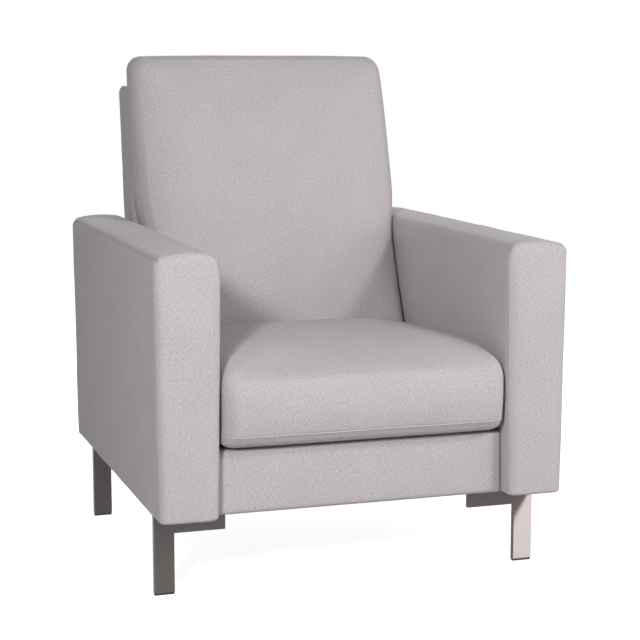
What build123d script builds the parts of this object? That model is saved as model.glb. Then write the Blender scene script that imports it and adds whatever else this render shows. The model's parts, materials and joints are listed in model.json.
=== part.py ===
from build123d import *
import os
from math import cos, radians, sin, sqrt, tan

# Upholstered armchair in millimetres. +Z is up, the sitter faces -Y, left is -X, and the origin is on
# the floor under the middle of the chair.

# Overall
body_width = 800.0  # across both arms at their underside
body_depth = 922.0  # nose of the seat cushion to the top of the back
base_height = 164.0  # floor to the underside of the arms
cover_thickness = 5.0  # fabric with its wadding
soft_gap = 0.4  # between a soft piece and its neighbour
lift_gap = 1.0  # round the seat cushion, so that it lifts out freely
fastener_fit = 0.1  # radial, round screws, bolts and inserts

# Arms
arm_height = 496.0  # underside to top
arm_overhang = 71.0  # the top of the back stands behind the arms by this
arm_width_bottom = 110.0
arm_width_top = 123.0
arm_flare = 5.0  # the outer face leans out by this at the top
arm_crown = 6.0
arm_top_roll = 21.0  # foam radius along the top edges
arm_foot_roll = 9.0  # foam radius along the bottom edges
arm_edge_roll = 5.0  # foam radius round the front and rear faces
arm_foam_front = 15.0
arm_foam_rear = 8.0
arm_foam_side = 8.0
arm_foam_top = 25.0
arm_member_width = 60.0
arm_post_depth = 45.0
arm_top_rail_height = 35.0
arm_bottom_rail_height = 60.0
outer_board = 3.0
inner_board = 5.0

# Seat box
rail_recess = 38.0  # front panel behind the arm fronts
rail_pad = 10.0
rail_cloth = 2.0
rail_end_gap = 8.0  # pad to arm at each end
rail_pad_radius = 7.0
rail_thickness = 25.0
rail_height = 116.0  # underside of the arms to the top of the seat box
corner_block_leg = 40.0
corner_block_height = 70.0
dust_thickness = 1.5

# Seat springs and deck
wire_diameter = 3.8
spring_count = 5
spring_margin = 84.0  # side rail to the middle of the nearest spring
spring_width = 46.0
spring_pitch = 24.0  # between neighbouring bars, before rounding to whole bars
clip_width = 20.0
clip_depth = 14.0
clip_height = 8.0
deck_thickness = 4.0

# Seat cushion
seat_height = 262.0  # underside of the arms to the edge of the seat
seat_crown = 20.0
seat_bow = 6.0  # extra rise between front and rear
seat_roll = 45.0  # radius of the rolled front
seat_border = 26.0  # border under the front panel
seat_tuck = 9.0  # border drawn in towards the bottom
seat_rear_drop = 6.0
nose_proud = 6.0  # middle of the seat in front of the arm fronts
nose_setback = 4.0  # ends of the seat behind the arm fronts
nose_bow = 4.0

# Back frame
shell_lean = 8.0  # degrees
shell_height = 791.0  # underside of the arms to the top of the back frame
shell_thickness = 105.0  # measured level
shell_top_roll = 17.0  # foam radius along the top edges
shell_side_roll = 9.0  # foam radius down the sides
post_setback = 20.0  # post behind the face of the back frame
post_width = 45.0
back_foam_side = 12.0
back_foam_top = 22.0
back_foam_rear = 3.0  # thinnest, at the foot of the posts
back_rail_height = 60.0
back_rail_depth = 25.0
webbing_count = 6
webbing_width = 50.0
webbing_thickness = 2.0

# Back cushion
back_height = 856.0  # underside of the arms to the top of the back
back_depth = 396.0  # face of the cushion at the seat, along its sides, to the rear of the chair
cushion_lean = 19.6  # degrees
back_crown = 26.0
back_bow = 10.0  # extra swell between seat and top
back_roll = 34.0  # height of the rounded top
back_top_drop = 8.0  # ends of the top below its middle
back_rear_round = 18.0  # ends drawn away from the back frame
back_tuck = 12.0  # foot drawn in behind the seat cushion

# Legs
leg_width = 40.0
leg_thickness = 12.0
leg_bar_length = 140.0
leg_inset = 9.0  # behind the outer face of the arm
leg_setback = 110.0  # behind the front of the arm, and ahead of its rear
leg_edge = 1.2
plate_thickness = 5.0
plate_width = 64.0
glide_thickness = 4.0
glide_inset = 1.0

# Fasteners
screw_diameter = 4.8
screw_head_diameter = 9.5
screw_head_height = 3.0
screw_length = 35.0
screw_spread = 20.0  # either side of the leg
bolt_diameter = 8.0
bolt_flange_diameter = 17.0
bolt_flange_height = 1.6
bolt_hex = 13.0  # across flats
bolt_head_height = 5.3
bolt_clearance = 0.5
insert_diameter = 12.0
insert_length = 25.0
arm_bolt_count = 3
back_bolt_count = 2

# Places along the width at which the cushions are drawn, as shares of the half-width
loft_stations = (-1.0, -0.7, 0.0, 0.7, 1.0)
sides = {"left": -1, "right": 1}

# Heights above the floor
arm_top = base_height + arm_height
rail_top = base_height + rail_height
seat_edge_height = base_height + seat_height
shell_top = base_height + shell_height
back_top = base_height + back_height

# Arm planes
front_y = nose_proud - body_depth / 2
arm_rear_y = body_depth / 2 - arm_overhang
arm_depth = arm_rear_y - front_y
outer_half = body_width / 2
inner_bottom = outer_half - arm_width_bottom
inner_top = outer_half + arm_flare - arm_width_top
clear_half = min(inner_bottom, inner_top)
seat_depth = body_depth - nose_proud - back_depth  # arm fronts to the back cushion, along its sides

# Boarded timber frame inside each arm
core_outer = outer_half - cover_thickness - arm_foam_side
member_outer = core_outer - outer_board
member_inner = member_outer - arm_member_width
core_inner = member_inner - inner_board
core_front = front_y + cover_thickness + arm_foam_front
core_rear = arm_rear_y - cover_thickness - arm_foam_rear
core_bottom = base_height + cover_thickness
core_top = arm_top - cover_thickness - arm_foam_top

# Seat box, springs and deck
rail_front = front_y + rail_recess + rail_pad + rail_cloth
rail_bottom = base_height + dust_thickness
rail_middle = (rail_bottom + rail_top) / 2
side_rail_inner = core_inner - rail_thickness
spring_spacing = 2 * (side_rail_inner - spring_margin) / (spring_count - 1)
wire_height = rail_top + clip_height / 2
deck_bottom = rail_top + clip_height + soft_gap
deck_top = deck_bottom + deck_thickness
cushion_bottom = deck_top + soft_gap

# Back frame
lean = radians(shell_lean)
shell_half = clear_half - lift_gap
shell_bottom = rail_bottom + soft_gap
shell_length = (shell_top - shell_bottom) / cos(lean)
shell_depth = shell_thickness * cos(lean)  # square to its faces
shell_radius = cover_thickness + shell_top_roll
round_off = shell_radius * (sin(lean) + cos(lean) - 1)
shell_foot = body_depth / 2 + round_off - shell_length * sin(lean) - shell_depth * cos(lean)
post_bottom = shell_bottom + cover_thickness + soft_gap
post_outer = shell_half - cover_thickness - back_foam_side
post_inner = post_outer - post_width
post_middle = (post_outer + post_inner) / 2


def shell_front(z):
    """Y of the front face of the back frame's upholstery at height z."""
    return shell_foot + (z - shell_bottom) * tan(lean)


post_front = shell_front(deck_top) + post_setback
post_rear = shell_front(post_bottom) + shell_thickness - cover_thickness - back_foam_rear
post_depth = post_rear - post_front
post_length = (shell_top - cover_thickness - back_foam_top - deck_top) / cos(lean)
post_face = Plane((0, post_front, deck_top), x_dir=(1, 0, 0), z_dir=(0, -cos(lean), sin(lean)))
rear_rail_front = post_front - rail_thickness
inside_front = rail_front + rail_thickness

# Legs and fasteners
leg_outer = outer_half - leg_inset
leg_inner = leg_outer - leg_bar_length
plate_bottom = base_height - plate_thickness
leg_middles = {
    "front": front_y + leg_setback + leg_thickness / 2,
    "rear": arm_rear_y - leg_setback - leg_thickness / 2,
}
arm_screw_x = (member_outer + member_inner) / 2
seat_screw_x = (core_inner + side_rail_inner) / 2
arm_bolt_z = core_bottom + arm_bottom_rail_height / 2
arm_bolt_step = (rear_rail_front - inside_front) / (arm_bolt_count + 1)
arm_bolt_length = rail_thickness + inner_board + insert_length
back_bolt_step = (rail_top - rail_bottom) / (back_bolt_count + 1)
back_bolt_length = rail_thickness + insert_length
bolt_hole = bolt_diameter + 2 * bolt_clearance
insert_hole = insert_diameter + 2 * fastener_fit


def inner_half(z):
    """Half the width between the arms at height z."""
    share = (z - base_height) / (arm_top - base_height)
    return inner_bottom + share * (inner_top - inner_bottom)


def crown_share(station):
    """How full a cushion is at a station: 1 in the middle, 0 at its ends."""
    return 1 - station**4


def back_face(z, share):
    """Y of the face of the back cushion at height z, where the cushion is full by share."""
    run = (z - seat_edge_height) * tan(radians(cushion_lean))
    return front_y + seat_depth + run - back_crown * share


def bar(xs, ys, zs, mode=Mode.ADD):
    """Box over three ranges, each given in either order."""
    ranges = (xs, ys, zs)
    with Locations(tuple(sum(ends) / 2 for ends in ranges)):
        Box(*(abs(ends[1] - ends[0]) for ends in ranges), mode=mode)


def finish(piece, name):
    """Labels a finished piece and writes it."""
    piece.part.label = name
    export_step(piece.part, f"parts/{name}.step")


def screw_places(x):
    """Middles of the leg screws in a row at one x, at the height of the leg plates."""
    spreads = (-screw_spread, screw_spread)
    return [(x, y + spread, plate_bottom) for y in leg_middles.values() for spread in spreads]


def cut_screw_holes(x):
    """Holes for the leg screws in a row at one x."""
    with Locations(*screw_places(x)):
        Cylinder(screw_diameter / 2 + fastener_fit, 2 * screw_length + 1, mode=Mode.SUBTRACT)


def arm_bolt_places(x):
    """Middles of the bolts that hold an arm, on the plane at x."""
    ys = [inside_front + arm_bolt_step * (row + 1) for row in range(arm_bolt_count)]
    return [(x, y, arm_bolt_z) for y in ys]


def back_bolt_places(y):
    """Middles of the bolts that hold the back, on the plane at y."""
    zs = [rail_bottom + back_bolt_step * (row + 1) for row in range(back_bolt_count)]
    return [(side * post_middle, y, z) for side in sides.values() for z in zs]


def aim(places, turn):
    """Locations at places, turned so that a fastener made along +Z points the right way."""
    return [Location(place, turn) for place in places]


def cut_across(places, diameter, length):
    """Round holes along X, each cut half of length to either side of its place."""
    with Locations(*places):
        Cylinder(diameter / 2, length, rotation=(0, 90, 0), mode=Mode.SUBTRACT)


def cut_along(places, diameter, length):
    """Round holes along Y, each cut half of length to either side of its place."""
    with Locations(*places):
        Cylinder(diameter / 2, length, rotation=(90, 0, 0), mode=Mode.SUBTRACT)


def cut_seat_pocket(side):
    """Room in an arm for the side rail of the seat box."""
    rear = post_rear + soft_gap
    bar((0, side * core_inner), (rail_front - soft_gap, rear), (0, rail_top + soft_gap), Mode.SUBTRACT)


def arm_block(side, inset):
    """Rounded, flared arm, drawn in all round by inset."""
    shoulder = arm_top - arm_crown
    outer_top = outer_half + arm_flare
    with BuildPart() as block:
        with BuildSketch(Plane.XZ.offset(-front_y - inset)) as outline:
            with BuildLine():
                Polyline(
                    (side * outer_top, shoulder),
                    (side * outer_half, base_height),
                    (side * inner_bottom, base_height),
                    (side * inner_top, shoulder),
                )
                ThreePointArc(
                    (side * outer_top, shoulder),
                    (side * (outer_top + inner_top) / 2, arm_top),
                    (side * inner_top, shoulder),
                )
            make_face()
            rows = outline.vertices().group_by(Axis.Y)
            fillet(rows[-1], cover_thickness + arm_top_roll)
            fillet(rows[0], cover_thickness + arm_foot_roll)
            if inset:
                offset(amount=-inset)
        extrude(amount=-(arm_depth - 2 * inset))
        ends = block.faces().sort_by(Axis.Y)
        fillet(ends[0].edges() + ends[-1].edges(), cover_thickness + arm_edge_roll - inset)
    return block.part


def shell_block(inset):
    """Leaning back frame with rounded top and sides, drawn in all round by inset."""
    foot = Vector(shell_foot, shell_bottom)
    up = Vector(sin(lean), cos(lean))
    across = Vector(cos(lean), -sin(lean))
    top = foot + up * shell_length
    with BuildPart() as block:
        with BuildSketch(Plane.YZ) as outline:
            Polygon(
                foot,
                foot + Vector(shell_thickness, 0),
                top + across * shell_depth,
                top,
                align=None,
            )
            fillet(outline.vertices().sort_by(Axis.Y)[-2:], shell_radius)
            if inset:
                offset(amount=-inset)
        extrude(amount=shell_half - inset, both=True)
        ends = block.faces().sort_by(Axis.X)
        fillet(ends[0].edges() + ends[-1].edges(), cover_thickness + shell_side_roll - inset)
    return block.part


def seat_block(inset):
    """Seat cushion with a crowned top and a rolled front, drawn in all round by inset."""
    corner = seat_roll * (1 - sqrt(0.5))
    bottom = cushion_bottom + inset
    seam = cushion_bottom + seat_border
    half = clear_half - lift_gap - inset
    with BuildPart() as block:
        for station in loft_stations:
            share = crown_share(station)
            nose = front_y + nose_bow - nose_proud * share + nose_setback * (1 - share) + inset
            top = seat_edge_height + seat_crown * share - inset
            rear = back_face(seat_edge_height, share) - lift_gap - inset
            rear_top = top - seat_rear_drop
            roll_foot = top - seat_roll
            with BuildSketch(Plane.YZ.offset(station * half)):
                with BuildLine():
                    Polyline((nose, seam), (nose + seat_tuck, bottom), (rear, bottom), (rear, rear_top))
                    ThreePointArc((nose, seam), (nose - nose_bow, (seam + roll_foot) / 2), (nose, roll_foot))
                    ThreePointArc((nose, roll_foot), (nose + corner, top - corner), (nose + seat_roll, top))
                    ThreePointArc(
                        (nose + seat_roll, top),
                        ((nose + seat_roll + rear) / 2, (top + rear_top) / 2 + seat_bow),
                        (rear, rear_top),
                    )
                make_face()
        loft()
    return block.part


def back_block(inset):
    """Back cushion with a swelling face and a rounded top, drawn in all round by inset."""
    bottom = cushion_bottom + inset
    half = clear_half - lift_gap - inset
    with BuildPart() as block:
        for station in loft_stations:
            share = crown_share(station)
            top = back_top - back_top_drop * (1 - share) - inset
            roll_foot = top - back_roll
            away = soft_gap + back_rear_round * (1 - share) + inset
            face_top = back_face(roll_foot, share) + inset
            face_foot = back_face(seat_edge_height, share) + inset
            rear_top = shell_front(roll_foot) - away
            with BuildSketch(Plane.YZ.offset(station * half)):
                with BuildLine():
                    Polyline(
                        (face_foot, seat_edge_height),
                        (face_foot + back_tuck, bottom),
                        (shell_front(bottom) - away, bottom),
                        (rear_top, roll_foot),
                    )
                    ThreePointArc(
                        (rear_top, roll_foot), ((rear_top + face_top) / 2, top), (face_top, roll_foot)
                    )
                    ThreePointArc(
                        (face_top, roll_foot),
                        ((face_top + face_foot) / 2 - back_bow, (roll_foot + seat_edge_height) / 2),
                        (face_foot, seat_edge_height),
                    )
                make_face()
        loft()
    return block.part


def draw_post(grow):
    """Side outline of a back post, upright behind the seat box and leaning above, grown by grow."""
    kink = Vector(post_front, deck_top)
    top = kink + Vector(sin(lean), cos(lean)) * post_length
    across = Vector(cos(lean), -sin(lean)) * post_depth * cos(lean)
    Polygon(
        (post_front, post_bottom),
        (post_rear, post_bottom),
        (post_rear, deck_top),
        top + across,
        top,
        kink,
        align=None,
    )
    if grow:
        offset(amount=grow, kind=Kind.INTERSECTION)


def cut_seat_room():
    """Room in the foot of the back frame's upholstery for the seat box."""
    depth = (rear_rail_front - rail_thickness, post_front)
    bar((-outer_half, outer_half), depth, (0, cushion_bottom), Mode.SUBTRACT)


os.makedirs("parts", exist_ok=True)

# Arms: boarded timber frames, foam round them and sewn covers
for name, side in sides.items():
    outside = arm_block(side, 0)
    lining = arm_block(side, cover_thickness)
    foam = arm_block(side, cover_thickness + soft_gap)
    member = (side * member_outer, side * member_inner)
    length = (core_front, core_rear)

    with BuildPart() as arm_cover:
        add(outside)
        add(lining, mode=Mode.SUBTRACT)
        cut_seat_pocket(side)
        cut_screw_holes(side * arm_screw_x)
    finish(arm_cover, f"{name}_arm_cover")

    with BuildPart() as arm_padding:
        add(foam)
        bar((side * core_outer, side * core_inner), length, (0, core_top), Mode.SUBTRACT)
        cut_seat_pocket(side)
    finish(arm_padding, f"{name}_arm_padding")

    with BuildPart() as arm_outer_board:
        bar((side * core_outer, side * member_outer), length, (core_bottom, core_top))
    finish(arm_outer_board, f"{name}_arm_outer_board")

    with BuildPart() as arm_inner_board:
        bar((side * member_inner, side * core_inner), length, (core_bottom, core_top))
        cut_across(arm_bolt_places(side * core_inner), bolt_hole, 3 * inner_board)
    finish(arm_inner_board, f"{name}_arm_inner_board")

    with BuildPart() as arm_bottom_rail:
        bar(member, length, (core_bottom, core_bottom + arm_bottom_rail_height))
        cut_screw_holes(side * arm_screw_x)
        cut_across(arm_bolt_places(side * member_inner), insert_hole, 2 * insert_length)
    finish(arm_bottom_rail, f"{name}_arm_bottom_rail")

    with BuildPart() as arm_top_rail:
        bar(member, length, (core_top - arm_top_rail_height, core_top))
    finish(arm_top_rail, f"{name}_arm_top_rail")

    post_ends = (core_bottom + arm_bottom_rail_height, core_top - arm_top_rail_height)
    with BuildPart() as arm_front_post:
        bar(member, (core_front, core_front + arm_post_depth), post_ends)
    finish(arm_front_post, f"{name}_arm_front_post")

    with BuildPart() as arm_rear_post:
        bar(member, (core_rear - arm_post_depth, core_rear), post_ends)
    finish(arm_rear_post, f"{name}_arm_rear_post")

# Seat box
for name, side in sides.items():
    with BuildPart() as side_rail:
        bar((side * core_inner, side * side_rail_inner), (rail_front, post_rear), (rail_bottom, rail_top))
        cut_screw_holes(side * seat_screw_x)
        cut_across(arm_bolt_places(side * core_inner), bolt_hole, 3 * rail_thickness)
    finish(side_rail, f"{name}_side_rail")

with BuildPart() as front_rail:
    bar((-side_rail_inner, side_rail_inner), (rail_front, inside_front), (rail_bottom, rail_top))
finish(front_rail, "front_rail")

with BuildPart() as rear_rail:
    bar((-side_rail_inner, side_rail_inner), (rear_rail_front, post_front), (rail_bottom, rail_top))
    cut_along(back_bolt_places(post_front), bolt_hole, 3 * rail_thickness)
finish(rear_rail, "rear_rail")

with BuildPart() as corner_blocks:
    with BuildSketch(Plane.XY.offset(rail_middle - corner_block_height / 2)):
        for side in sides.values():
            for wall, reach in ((inside_front, corner_block_leg), (rear_rail_front, -corner_block_leg)):
                Polygon(
                    (side * side_rail_inner, wall),
                    (side * (side_rail_inner - corner_block_leg), wall),
                    (side * side_rail_inner, wall + reach),
                    align=None,
                )
    extrude(amount=corner_block_height)
finish(corner_blocks, "corner_blocks")

# Padded front panel: a full-width cloth with a narrower rounded pad on it
cloth_half = inner_half(deck_bottom) - soft_gap
pad_half = cloth_half - rail_end_gap
panel = (rail_bottom, deck_bottom)
with BuildPart() as front_rail_cover:
    bar((-pad_half, pad_half), (rail_front - rail_cloth - rail_pad, rail_front), panel)
    fillet(front_rail_cover.faces().sort_by(Axis.Y)[0].edges(), rail_pad_radius)
    bar((-cloth_half, cloth_half), (rail_front - rail_cloth, rail_front), panel)
finish(front_rail_cover, "front_rail_cover")

with BuildPart() as dust_cover:
    dust_half = core_inner - soft_gap
    bar((-dust_half, dust_half), (rail_front, post_rear), (base_height, rail_bottom))
    for side in sides.values():
        cut_screw_holes(side * seat_screw_x)
finish(dust_cover, "dust_cover")

# Sinuous springs: straight bars across, joined by half turns, with the end bars held in clips
spring_front = rail_front + rail_thickness / 2
spring_rear = post_front - rail_thickness / 2
bar_count = round((spring_rear - spring_front) / spring_pitch)
pitch = (spring_rear - spring_front) / bar_count
bar_half = (spring_width - wire_diameter - pitch) / 2
spring_xs = [spring_spacing * (row - (spring_count - 1) / 2) for row in range(spring_count)]

with BuildPart() as spring:
    with BuildLine(Plane.XY.offset(wire_height)):
        for row in range(bar_count + 1):
            reach = bar_half if row % 2 == 0 else -bar_half
            y = spring_front + pitch * row
            Line((-reach, y), (reach, y))
            if row < bar_count:
                turn = 180 if reach > 0 else -180
                CenterArc((reach, y + pitch / 2), pitch / 2, -90, turn)
    with BuildSketch(Plane((-bar_half, spring_front, wire_height), z_dir=(1, 0, 0))):
        Circle(wire_diameter / 2)
    sweep()

with BuildPart() as seat_springs:
    with Locations(*((x, 0, 0) for x in spring_xs)):
        add(spring.part)
finish(seat_springs, "seat_springs")

with BuildPart() as spring_clips:
    with Locations(*((x, y, wire_height) for x in spring_xs for y in (spring_front, spring_rear))):
        Box(clip_width, clip_depth, clip_height)
        Cylinder(
            wire_diameter / 2 + fastener_fit, 2 * clip_width, rotation=(0, 90, 0), mode=Mode.SUBTRACT
        )
finish(spring_clips, "spring_clips")

deck_half = inner_half(deck_top) - lift_gap
with BuildPart() as seat_deck:
    bar((-deck_half, deck_half), (rail_front, post_front - soft_gap), (deck_bottom, deck_top))
finish(seat_deck, "seat_deck")

# Loose seat cushion
seat_outside = seat_block(0)
seat_lining = seat_block(cover_thickness)
with BuildPart() as seat_cushion_cover:
    add(seat_outside)
    add(seat_lining, mode=Mode.SUBTRACT)
finish(seat_cushion_cover, "seat_cushion_cover")

seat_foam = seat_block(cover_thickness + soft_gap)
with BuildPart() as seat_cushion_core:
    add(seat_foam)
finish(seat_cushion_core, "seat_cushion_core")

# Back frame: kinked posts, rails and webbing inside foam and a cover
for name, side in sides.items():
    with BuildPart() as back_post:
        with BuildSketch(Plane.YZ.offset(side * post_middle)):
            draw_post(0)
        extrude(amount=post_width / 2, both=True)
        cut_along(back_bolt_places(post_front), insert_hole, 2 * insert_length)
    finish(back_post, f"{name}_back_post")

with BuildPart() as back_bottom_rail:
    bar((-post_inner, post_inner), (post_front, post_front + back_rail_depth), (post_bottom, rail_top))
finish(back_bottom_rail, "back_bottom_rail")

with BuildPart() as back_top_rail:
    with BuildSketch(post_face):
        with Locations((0, post_length - back_rail_height / 2)):
            Rectangle(2 * post_inner, back_rail_height)
    extrude(amount=-back_rail_depth)
finish(back_top_rail, "back_top_rail")

webbing_step = post_length / webbing_count
with BuildPart() as back_webbing:
    with BuildSketch(post_face):
        with Locations(*((0, webbing_step * (row + 0.5)) for row in range(webbing_count))):
            Rectangle(2 * post_outer, webbing_width)
    extrude(amount=webbing_thickness)
finish(back_webbing, "back_webbing")

shell_outside = shell_block(0)
shell_lining = shell_block(cover_thickness)
shell_foam = shell_block(cover_thickness + soft_gap)

with BuildPart() as back_shell_padding:
    add(shell_foam)
    with BuildSketch(Plane.YZ):
        draw_post(webbing_thickness + soft_gap)
    extrude(amount=post_outer + soft_gap, both=True, mode=Mode.SUBTRACT)
    cut_seat_room()
finish(back_shell_padding, "back_shell_padding")

with BuildPart() as back_shell_cover:
    add(shell_outside)
    add(shell_lining, mode=Mode.SUBTRACT)
    cut_seat_room()
finish(back_shell_cover, "back_shell_cover")

# Back cushion
back_outside = back_block(0)
back_lining = back_block(cover_thickness)
with BuildPart() as back_cushion_cover:
    add(back_outside)
    add(back_lining, mode=Mode.SUBTRACT)
finish(back_cushion_cover, "back_cushion_cover")

back_foam = back_block(cover_thickness + soft_gap)
with BuildPart() as back_cushion_core:
    add(back_foam)
finish(back_cushion_core, "back_cushion_core")

# Legs: a flat upright and crossbar in an L, with a plate under the arm and the seat box
for end, middle in leg_middles.items():
    for name, side in sides.items():
        with BuildPart() as leg:
            with BuildSketch(Plane.XZ.offset(leg_thickness / 2 - middle)):
                Polygon(
                    (side * leg_outer, glide_thickness),
                    (side * leg_outer, plate_bottom),
                    (side * leg_inner, plate_bottom),
                    (side * leg_inner, plate_bottom - leg_width),
                    (side * (leg_outer - leg_width), plate_bottom - leg_width),
                    (side * (leg_outer - leg_width), glide_thickness),
                    align=None,
                )
            extrude(amount=-leg_thickness)
            flats = leg.faces().sort_by(Axis.Y)
            fillet(flats[0].edges() + flats[-1].edges(), leg_edge)
            plate = (middle - plate_width / 2, middle + plate_width / 2)
            bar((side * leg_outer, side * leg_inner), plate, (plate_bottom, base_height))
            cut_screw_holes(side * arm_screw_x)
            cut_screw_holes(side * seat_screw_x)
        finish(leg, f"{end}_{name}_leg")

with BuildPart() as leg_glides:
    for side in sides.values():
        for middle in leg_middles.values():
            reach = leg_thickness / 2 - glide_inset
            width = (side * (leg_outer - glide_inset), side * (leg_outer - leg_width + glide_inset))
            bar(width, (middle - reach, middle + reach), (0, glide_thickness))
finish(leg_glides, "leg_glides")

# Fasteners
with BuildPart() as leg_screws:
    for side in sides.values():
        with Locations(*screw_places(side * arm_screw_x), *screw_places(side * seat_screw_x)):
            Cylinder(
                screw_head_diameter / 2, screw_head_height, align=(Align.CENTER, Align.CENTER, Align.MAX)
            )
            Cylinder(
                screw_diameter / 2, screw_length, align=(Align.CENTER, Align.CENTER, Align.MIN)
            )
finish(leg_screws, "leg_screws")


def flange_bolt(length):
    """Bolt along +Z whose flange seats on the plane z = 0."""
    with BuildPart() as bolt:
        Cylinder(bolt_diameter / 2, length, align=(Align.CENTER, Align.CENTER, Align.MIN))
        Cylinder(
            bolt_flange_diameter / 2, bolt_flange_height, align=(Align.CENTER, Align.CENTER, Align.MAX)
        )
        with BuildSketch():
            RegularPolygon(bolt_hex / 2, 6, major_radius=False)
        extrude(amount=-(bolt_flange_height + bolt_head_height))
    return bolt.part


def threaded_insert():
    """Insert along +Z whose mouth is on the plane z = 0."""
    with BuildPart() as insert:
        with BuildSketch():
            Circle(insert_diameter / 2)
            Circle(bolt_diameter / 2 + fastener_fit, mode=Mode.SUBTRACT)
        extrude(amount=insert_length)
    return insert.part


arm_bolt = flange_bolt(arm_bolt_length)
back_bolt = flange_bolt(back_bolt_length)
insert = threaded_insert()

with BuildPart() as arm_bolts:
    for side in sides.values():
        with Locations(*aim(arm_bolt_places(side * side_rail_inner), (0, side * 90, 0))):
            add(arm_bolt)
finish(arm_bolts, "arm_bolts")

with BuildPart() as arm_inserts:
    for side in sides.values():
        with Locations(*aim(arm_bolt_places(side * member_inner), (0, side * 90, 0))):
            add(insert)
finish(arm_inserts, "arm_inserts")

with BuildPart() as back_bolts:
    with Locations(*aim(back_bolt_places(rear_rail_front), (-90, 0, 0))):
        add(back_bolt)
finish(back_bolts, "back_bolts")

with BuildPart() as back_inserts:
    with Locations(*aim(back_bolt_places(post_front), (-90, 0, 0))):
        add(insert)
finish(back_inserts, "back_inserts")
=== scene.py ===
"""Upholstered armchair with a lift-out seat cushion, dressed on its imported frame.

Lengths are in metres in the frame's own axes: +Z up, the sitter faces -Y, the origin on the floor.
"""

import json
import math

import bpy
import numpy as np
from bpy.props import FloatProperty, FloatVectorProperty, PointerProperty
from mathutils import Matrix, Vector, noise
from mathutils.bvhtree import BVHTree
from mathutils.kdtree import KDTree


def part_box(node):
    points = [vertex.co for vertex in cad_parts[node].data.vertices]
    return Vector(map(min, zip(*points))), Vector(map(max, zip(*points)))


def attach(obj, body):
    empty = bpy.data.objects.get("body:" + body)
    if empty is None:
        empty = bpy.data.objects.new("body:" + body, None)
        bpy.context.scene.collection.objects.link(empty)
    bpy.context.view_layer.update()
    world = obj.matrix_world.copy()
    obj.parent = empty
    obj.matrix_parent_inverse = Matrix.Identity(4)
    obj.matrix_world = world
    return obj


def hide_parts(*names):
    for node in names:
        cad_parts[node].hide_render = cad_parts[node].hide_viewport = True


bl_info = {
    "name": "Upholstered Armchair",
    "version": (1, 0, 0),
    "blender": (4, 5, 0),
    "location": "View3D > Sidebar > Armchair",
    "description": "Dresses an armchair's frame in sewn fabric and brushed steel, in a plain studio",
    "category": "Object",
}

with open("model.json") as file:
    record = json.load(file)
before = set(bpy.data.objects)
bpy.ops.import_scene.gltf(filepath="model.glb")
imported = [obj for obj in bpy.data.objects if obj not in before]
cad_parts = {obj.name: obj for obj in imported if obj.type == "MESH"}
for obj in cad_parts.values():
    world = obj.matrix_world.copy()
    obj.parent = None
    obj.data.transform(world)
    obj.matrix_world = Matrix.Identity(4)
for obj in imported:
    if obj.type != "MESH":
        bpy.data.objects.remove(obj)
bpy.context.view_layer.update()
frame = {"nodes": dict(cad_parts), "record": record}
nodes = frame["nodes"]
arm_low, arm_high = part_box("right_arm_cover")
seat_low, seat_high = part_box("seat_cushion_cover")
back_low, back_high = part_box("back_cushion_cover")
shell_low, shell_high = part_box("back_shell_cover")
panel_low, panel_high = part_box("front_rail_cover")
deck_low, deck_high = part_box("seat_deck")
dust_low, dust_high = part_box("dust_cover")


def linear(code):
    """An sRGB hex colour as linear red, green and blue."""
    shares = [int(code[i : i + 2], 16) / 255 for i in (1, 3, 5)]
    return tuple(c / 12.92 if c <= 0.04045 else ((c + 0.055) / 1.055) ** 2.4 for c in shares)


def length(label, about, default):
    """A length property in metres."""
    return FloatProperty(name=label, description=about, default=default, unit="LENGTH", precision=4)


def angle(label, about, degrees):
    """An angle property, its default given in degrees."""
    return FloatProperty(name=label, description=about, default=math.radians(degrees), subtype="ANGLE")


def power(label, about, watts):
    """A lamp's power property in watts."""
    return FloatProperty(name=label, description=about, default=watts, min=0, unit="POWER")


def colour(label, about, code):
    """A colour property given as sRGB hex."""
    return FloatVectorProperty(
        name=label, description=about, default=linear(code), subtype="COLOR", size=3, min=0, max=1
    )


class UpholsterySettings(bpy.types.PropertyGroup):
    """Fabric and sewing that every cover shares."""

    light_yarn: colour("Light Yarn", "Paler of the two twisted yarns", "#D0C9C9")
    dark_yarn: colour("Dark Yarn", "Darker of the two twisted yarns", "#B0A8A9")
    thread: colour("Sewing Thread", "Thread of the topstitching", "#D3CDCC")
    thread_radius: length("Thread Radius", "Radius of the sewing thread", 0.00045)
    strand: length("Strand", "Width of one strand of the sewing thread", 0.0012)
    thread_spacing: length("Thread Spacing", "Distance between neighbouring threads", 0.0014)
    fleck_length: length("Fleck Length", "Length of a streak of one yarn", 0.0054)
    fleck_width: length("Fleck Width", "Width of a streak of one yarn", 0.0017)
    seam_depth: length("Seam Depth", "How far a seam draws the cover in", 0.0009)
    seam_width: length("Seam Width", "Half the width of the groove at a seam", 0.0022)
    welt: length("Welt Radius", "Radius of the folded edge in a seam", 0.0007)
    stitch: length("Stitch Length", "Length of one topstitch", 0.0048)
    stitch_gap: length("Stitch Gap", "Gap between topstitches", 0.0018)
    stitch_offset: length("Stitch Offset", "Distance of the topstitching from its seam", 0.0045)


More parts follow.
